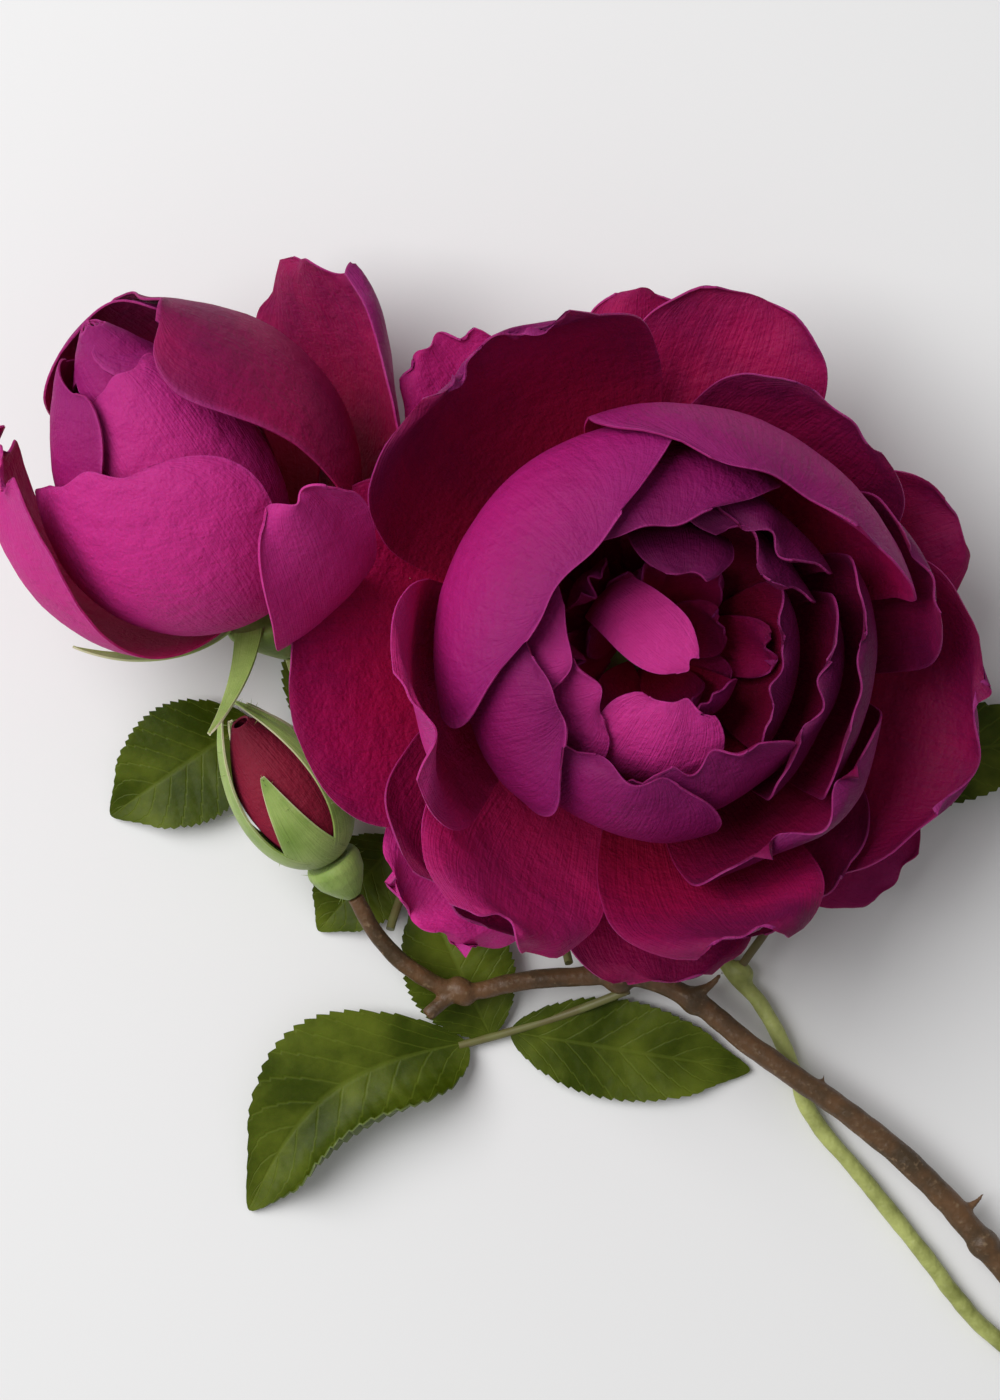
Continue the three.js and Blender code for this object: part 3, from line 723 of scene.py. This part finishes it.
def hairs(piece, count, seed):
    """Fine cones standing on a piece's own surface."""
    draw = np.random.default_rng(seed)
    feet, facing = points_of(piece.data), normals_of(piece.data)
    made = []
    for k in draw.choice(len(feet), count, replace=False):
        tilt = Vector(facing[k] + draw.normal(0, 0.35, 3)).normalized()
        bpy.ops.object.select_all(action="DESELECT")
        reach = HAIR_LENGTH * draw.uniform(0.5, 1.2) * MM
        bpy.ops.mesh.primitive_cone_add(vertices=5, radius1=0.05 * MM, radius2=0, depth=reach)
        hair = bpy.context.object
        turn = tilt.to_track_quat("Z", "Y")
        stand = Vector(feet[k]) + tilt * reach * 0.45
        put_points(hair.data, [stand + turn @ Vector(p) for p in points_of(hair.data)])
        made.append(hair)
    return made


def calyx(node, flower, layers, profile, sepals, seed, hair_count=0):
    parts = [turned("hip", flower, profile)]
    parts[0].data.materials.append(CALYX)
    for k, row in enumerate(sepals):
        blade = petal("sepal", flower, layers, row, sepal_width, CALYX, seed + k, columns=16, rows=40)
        parts.append(blade)
    if hair_count:
        down = hairs(parts[0], hair_count, seed)
        for blade in parts[1:]:
            down += hairs(blade, hair_count, seed + 1)
        for hair in down:
            hair.data.materials.append(CALYX)
        parts += down
    piece = join(parts)
    piece.name = "fine_" + node
    finish(piece, "calyx", node)


calyx("big_calyx", BIG, BIG_LAYERS, BIG_HIP, BIG_SEPALS, seed=110)
calyx("small_calyx", SMALL, SMALL_LAYERS, SMALL_HIP, SMALL_SEPALS, seed=120)
calyx("bud_calyx", BUD, BUD_LAYERS, BUD_HIP, BUD_SEPALS, seed=130, hair_count=24)
print("calyxes: 3")

# %% [markdown]
# ## The heart
# Deep in the open bloom stands a tuft of stamens: fine pale filaments, each with a golden anther. Small
# crumpled petaloids, which are stamens that have turned half into petals, close round them.
# %% Stamens
STAMENS = 26
STAMEN_REACH = 3.0
PETALOIDS = 11
GOLDEN_ANGLE = 137.5


def stamen_paint():
    paint = Paint("stamen_gold")
    dust = paint.speckle(paint.places(), 1500.0, detail=2.0)
    paint.set(Base_Color=paint.mix(dust.step(0.35, 0.7), (0.5, 0.27, 0.05), (0.3, 0.13, 0.03)))
    paint.set(Roughness=0.75)
    return paint.material


GOLD = stamen_paint()
draw = np.random.default_rng(5)
tuft = []
for k in range(STAMENS):
    lean = math.sqrt((k + 0.5) / STAMENS) * 0.42
    turn = math.radians(k * GOLDEN_ANGLE)
    top = (BIG_AXIS + Vector((math.cos(turn), math.sin(turn), 0)) * lean).normalized()
    foot = BIG_AXIS * 1.4 + top.cross(BIG_AXIS) * 0.2
    height = STAMEN_REACH * draw.uniform(1.3, 1.9)
    tip = foot + top * height
    tuft.append(tube("filament", (foot, (foot + tip) / 2 + top * 0.1, tip), (0.14, 0.1, 0.08), 4, 2))
    tuft.append(ball("anther", tip, (0.3, 0.22, 0.5), aim=top, segments=10, rings=6))
for part in tuft:
    only(part)
    bpy.ops.object.shade_smooth()
    part.data.materials.clear()
    part.data.materials.append(GOLD)
for k in range(PETALOIDS):
    row = dict(az=k * GOLDEN_ANGLE, half=4.4, layer=0.3 - 0.02 * k, ruffle=1.0)
    row["reach"] = draw.uniform(0.5, 0.8)
    tuft.append(petal("petaloid", BIG, BIG_LAYERS, row, petal_width, PETAL, 150 + k, 20, 24))
heart = join(tuft)
heart.name = "fine_heart"
finish(heart, "heart", "big_bloom_heart")

# %% [markdown]
# ## Stems
# The brown cane carries the bud at its tip, a bare side stub and three prickles. A green shoot leaves it
# near the cut end and carries the open bloom, and a green stalk carries the half open one. All of it grew
# as one piece, so the tubes are joined and a voxel Remesh melts them together. Swellings mark the nodes.
# %% Rows of the stems
CANE = (
    (83.1, -130.4, -19.8), (72.4, -114.4, -19.8), (59.1, -95.7, -18.8), (48.4, -82.7, -17.6),
    (40.4, -73.7, -16.9), (31.1, -65.7, -16.3), (21.7, -59.1, -16), (15.1, -54.4, -16),
    (8.4, -49.1, -16), (0.4, -45.7, -16), (-7.6, -45.7, -16), (-15.6, -46.4, -16),
    (-23.6, -47.7, -15.8), (-28.9, -45.7, -15.2), (-34.9, -40.2, -14),
)
SHOOT = (
    (72, -113.8, -19.6), (60, -103, -20.4), (48.4, -94.4, -20.7), (40.4, -84.4, -20.7),
    (32.4, -74.4, -20.6), (24.4, -64.4, -20.5), (22.7, -59.7, -20.4), (17.7, -49.7, -20.4),
    (13.1, -44.4, -20.5), (8.4, -34.4, -20.8), (5.2, -21.1, -20.95), (1.4, -9, -20.95), (-2, -0.4, -19.6),
)
STALK = (
    (-2.3, -45.7, -16.2), (-9, -38, -17.4), (-20, -26, -18), (-32, -15, -16.8), (-41, -8, -14),
    (-45.6, -4.4, -11.4),
)
STUB = ((-23.2, -47.6, -15.8), (-25.4, -48.6, -15.6), (-28.4, -51, -15))
PRICKLES = (
    ((7.4, -48.6, -15.4), (12.6, -44.6, -14.6), 1.3, 0.5),
    ((27, -62.6, -16.6), (26.2, -59.2, -16), 1.0, -0.4),
    ((44.4, -78.4, -17.7), (48.6, -75.4, -17.2), 1.2, 0.5),
)
NODES = (
    ((8.4, -49.1, -16), 1.9), ((-2.3, -45.9, -16), 2.1), ((-23.6, -47.7, -15.8), 1.9),
    ((48.4, -82.7, -17.6), 2.2), ((72.4, -114.2, -19.6), 2.4), ((15.2, -45.4, -20.3), 1.5),
)
VOXEL = 0.32


def on_axis(flower, height):
    """The design point on a flower's axis at a height: where its stalk ends."""
    place = in_flower(flower, np.array([0.0, 0.0, height]))
    return tuple((Vector(place) - ORIGIN) / MM)


def taper(route, start, end):
    gaps = [(Vector(b) - Vector(a)).length for a, b in zip(route, route[1:])]
    shares = np.concatenate([[0], np.cumsum(gaps)]) / sum(gaps)
    return [start + (end - start) * s for s in shares]


def nearest(points, route, count=240):
    """Each point's distance, in mm, from a route of design points."""
    knots = np.array([design(p) for p in route])
    marks = np.linspace(0, len(route) - 1, count)
    samples = np.stack([np.interp(marks, np.arange(len(route)), knots[:, k]) for k in range(3)], axis=-1)
    best = np.full(len(points), np.inf)
    for sample in samples:
        best = np.minimum(best, np.linalg.norm(points - sample, axis=1))
    return best / MM


# %% Bark paint
def bark_paint():
    paint = Paint("bark")
    green = paint.attribute("green")
    clouds = paint.speckle(paint.places(), 180.0, detail=4.0)
    fine = paint.speckle(paint.places(), 1100.0, detail=3.0)
    bark = paint.mix(clouds.step(0.3, 0.7), (0.13, 0.062, 0.024), (0.055, 0.032, 0.013))
    bark = paint.mix(fine.step(0.55, 0.8), bark, (0.2, 0.13, 0.07))
    shoot = paint.mix(clouds.step(0.35, 0.75), (0.42, 0.46, 0.14), (0.2, 0.22, 0.05))
    paint.set(Base_Color=paint.mix(green, bark, shoot), Roughness=0.48 + (fine - 0.5) * 0.4)
    paint.set(Specular_IOR_Level=0.4)
    paint.bump(fine + clouds * 0.6, distance=0.0004, strength=0.5)
    return paint.material


# %% Make the stems
cane = CANE + (on_axis(BUD, -7.8),)
shoot = SHOOT + (on_axis(BIG, -17), on_axis(BIG, -15.3))
stalk = STALK + (on_axis(SMALL, -10.3),)
stems = [
    tube("cane", cane, taper(cane, 2.2, 1.15)),
    tube("shoot", shoot, taper(shoot, 1.25, 1.05)),
    tube("stalk", stalk, taper(stalk, 0.95, 0.95)),
    tube("stub", STUB, (1.2, 1.1, 0.95)),
]
for foot, tip, radius, hook in PRICKLES:
    stems.append(spike("prickle", foot, tip, radius, hook))
for centre, radius in NODES:
    stems.append(ball("node", centre, (radius, radius, radius * 1.25), aim=(0.7, -0.6, 0)))
stem = join(stems)
stem.name = "fine_stem"
apply_modifier(stem, "REMESH", mode="VOXEL", voxel_size=VOXEL * MM, use_smooth_shade=True)
apply_modifier(stem, "SMOOTH", factor=0.5, iterations=3)
skin = points_of(stem.data)
rough = np.array([noise.noise(Vector(p) * 420) for p in skin])
skin = skin + normals_of(stem.data) * rough[:, None] * 0.12 * MM
put_points(stem.data, skin)
off_green = np.minimum(nearest(skin, shoot) - 1.2, nearest(skin, stalk) - 0.9)
off_brown = nearest(skin, cane) - 1.5
give(stem.data, "green", np.clip(0.5 + (off_brown - off_green) * 0.7, 0, 1))
stem.data.materials.clear()
stem.data.materials.append(bark_paint())
finish(stem, "stem", "stem")
print("stem points:", len(skin))

# %% [markdown]
# ## Leaves
# Each leaf is a thin stalk with leaflets. A leaflet is a sheet folded up a little along its midrib, with
# teeth that point to the tip and a blade that bulges between its side veins. Its top is dark and glossy,
# with paler patches that are partly painted sheen and partly its own uneven green, and its underside is
# pale and matt.
# %% Leaf paint
VEINS = 9
VEIN_SLANT = 2.2


def leaf_paint():
    paint = Paint("leaf_green")
    across, along = paint.across_and_along()
    outside = paint.attribute("outer")
    out = (across - 0.5).size() * 2
    side_vein = (along * VEINS - out * VEIN_SLANT + 10).maths("PINGPONG", 0.5)
    vein = 1 - side_vein.step(0.0, 0.09)
    midrib = 1 - out.step(0.015, 0.07)
    veins = vein.maths("MAXIMUM", midrib)
    clouds = paint.speckle(paint.places(), 110.0, detail=4.0)
    net = paint.speckle(paint.places(), 900.0, detail=3.0)
    # Partly painted sheen: the paler green that the clouds mix into the top stands for sheen as well as for
    # uneven tone.
    top = paint.mix(clouds.step(0.3, 0.75), (0.03, 0.046, 0.001), (0.11, 0.14, 0.012))
    top = paint.mix(veins * 0.25, top, (0.14, 0.18, 0.02))
    under = paint.mix(clouds.step(0.3, 0.7), (0.14, 0.17, 0.07), (0.1, 0.13, 0.05))
    under = paint.mix(veins * 0.6, under, (0.22, 0.25, 0.12))
    paint.set(Base_Color=paint.mix(outside, under, top), Roughness=0.62 - outside * 0.2 + (net - 0.5) * 0.2)
    paint.set(Specular_IOR_Level=0.1)
    paint.set(Subsurface_Weight=0.08, Subsurface_Radius=(0.4, 1.0, 0.1), Subsurface_Scale=0.001)
    paint.bump(net * 0.5 + clouds * 0.4 - veins * 0.35, distance=0.0003, strength=0.45)
    return paint.material


def stalk_paint():
    paint = Paint("leaf_stalk")
    clouds = paint.speckle(paint.places(), 150.0, detail=3.0)
    paint.set(Base_Color=paint.mix(clouds.step(0.3, 0.75), (0.16, 0.17, 0.05), (0.12, 0.08, 0.03)))
    paint.set(Roughness=0.5)
    return paint.material


LEAF = leaf_paint()
LEAF_STALK = stalk_paint()


# %% One leaflet
TEETH = 22
LEAF_THICK = 0.3


def leaf_width(v):
    blade = np.sin(np.pi * np.clip(v, 0, 1) ** 0.85) ** 0.75
    return blade * (1 - 0.55 * np.clip((v - 0.8) / 0.2, 0, 1) ** 0.8 * (1 - v) ** 0.25)


def rolled_edge(s, curl, steps=24):
    """How far across and up a sheet's side goes when it rolls up more and more towards its edge."""
    marks = (np.arange(steps) + 0.5) / steps
    turn = curl[..., None] * (s[..., None] * marks) ** 2
    return s * np.mean(np.cos(turn), axis=-1), s * np.mean(np.sin(turn), axis=-1)


def leaflet(row, seed):
    base, tip = Vector(row["base"]), Vector(row["tip"])
    length = (tip - base).length
    axis = (tip - base) / length
    side = Vector((0, 0, 1)).cross(axis).normalized()
    up = axis.cross(side)
    start, axis, side, up = (np.array(v) for v in (design(base), axis, side, up))
    half, arch, bow = row["half"], row.get("arch", 1), row.get("bow", 0)
    curl = row.get("curl", 0)

    def surface(u, v):
        tooth = 0.92 + 0.08 * ((v * TEETH) % 1) ** 0.8
        width = half * (leaf_width(v) * tooth + 0.02)
        middle = np.sin(np.pi * v)
        out = np.abs(u)
        swell = np.abs(np.sin(np.pi * (v * VEINS - out * VEIN_SLANT / 2))) * np.sqrt(out) * (1 - out**4)
        lift = out * width * 0.12 + arch * middle + 0.16 * swell * middle
        lift = lift + 0.5 * middle * np.sin(v * 9 + seed) * out
        wide, high = rolled_edge(np.clip(-u, 0, 1), curl * middle)
        sideways = bow * middle + (wide - np.clip(u, 0, 1)) * width
        lift = lift + high * width
        steps = np.stack([v * length, sideways, lift], axis=-1) * MM
        return start + steps @ np.array([axis, side, up])

    blade = sheet("leaflet", surface, 28, TEETH * 5, LEAF_THICK * MM)
    blade.data.materials.append(LEAF)
    return blade


# %% Rows of the leaves
LEAVES = (
    dict(
        name="leaf_front",
        rachis=((-0.6, -47.7, -17.6), (-8, -50.8, -20), (-16.9, -53.7, -20.8), (-24, -55.6, -20.4)),
        leaflets=(
            dict(base=(-22.9, -55.1, -20.4), tip=(-53.2, -78.4, -21.5), half=10.4, arch=2, bow=-6, curl=2.5),
            dict(base=(-16.9, -53.7, -20.8), tip=(16.4, -59.1, -21.4), half=7, arch=0.4),
            dict(base=(-19.6, -54.4, -20.8), tip=(-29.4, -33.4, -20.4), half=7.6),
        ),
    ),
    dict(
        name="leaf_left",
        rachis=(
            (-33.4, -39.2, -15.8), (-31.6, -31.4, -19.8), (-34.6, -20.4, -21), (-43.9, -13.3, -21),
            (-53.4, -10.6, -20.6),
        ),
        leaflets=(
            dict(base=(-52.9, -10.4, -20.6), tip=(-72.3, -23.7, -21.5), half=8.6, arch=2),
            dict(base=(-32.4, -27.1, -20.4), tip=(-43.5, -39.7, -21.4), half=6.4),
            dict(base=(-43.9, -13.1, -21), tip=(-37, 10.4, -20.6), half=7.5),
        ),
    ),
    dict(
        name="leaf_right",
        rachis=((15.2, -44.4, -19.6), (20, -37, -20.4), (22, -28, -20.8), (25, -16.9, -20.8)),
        leaflets=(
            dict(base=(24.4, -17.3, -20.8), tip=(61.7, -12.6, -21.5), half=7.4, arch=2),
            dict(base=(20.6, -35.2, -20.5), tip=(13.4, -17.4, -21.4), half=4, arch=0),
            dict(base=(20.6, -36.2, -20.5), tip=(33, -20, -21.4), half=6, arch=0.4),
        ),
    ),
    dict(
        name="leaf_node",
        rachis=((-8.8, -43.9, -17), (-9.6, -41, -19.2), (-11.6, -37, -20.8)),
        leaflets=(dict(base=(-11, -38.4, -20.6), tip=(-14.6, -14.7, -21.4), half=8.4, arch=0.5),),
    ),
)

# %% Make the leaves
for leaf in LEAVES:
    rachis = tube("rachis", leaf["rachis"], [0.6] * len(leaf["rachis"]))
    rachis.data.materials.clear()
    rachis.data.materials.append(LEAF_STALK)
    blades = [leaflet(row, seed) for seed, row in enumerate(leaf["leaflets"])]
    piece = join([*blades, rachis])
    piece.name = "fine_" + leaf["name"]
    finish(piece, "leaf", leaf["name"])
print("leaves:", len(LEAVES))

# %% [markdown]
# ## Floor and light
# The floor is plain and pale. One very large soft light stands up to the left, as a window would, and a
# dim even world fills the shadows, so the right side of each flower falls into shade, with painted shade
# on its petals too.
# %% Floor
FLOOR_SIZE = 4.0
bpy.ops.object.select_all(action="DESELECT")
bpy.ops.mesh.primitive_plane_add(size=FLOOR_SIZE)
floor = bpy.context.object
floor.name = "floor"
chalk = Paint("pale_floor")
chalk.set(Base_Color=(0.8, 0.8, 0.8, 1), Roughness=0.9, Specular_IOR_Level=0.1)
floor.data.materials.append(chalk.material)


# %% Lights
def soft_light(name, place, aim, size, power):
    lamp = bpy.data.lights.new(name, "AREA")
    lamp.size = size
    lamp.energy = power
    holder = bpy.data.objects.new(name, lamp)
    holder.location = place
    holder.rotation_mode = "QUATERNION"
    holder.rotation_quaternion = (Vector(aim) - Vector(place)).to_track_quat("-Z", "Y")
    bpy.context.scene.collection.objects.link(holder)


soft_light("window", (-0.66, 0.3, 0.92), (-0.02, 0.02, 0.02), size=0.9, power=14.5)
world = bpy.data.worlds.new("studio")
world.use_nodes = True
fill = world.node_tree.nodes["Background"].inputs
fill["Color"].default_value = (1, 1, 1, 1)
fill["Strength"].default_value = 0.3
bpy.context.scene.world = world
print("lights: one soft window and the world's fill")
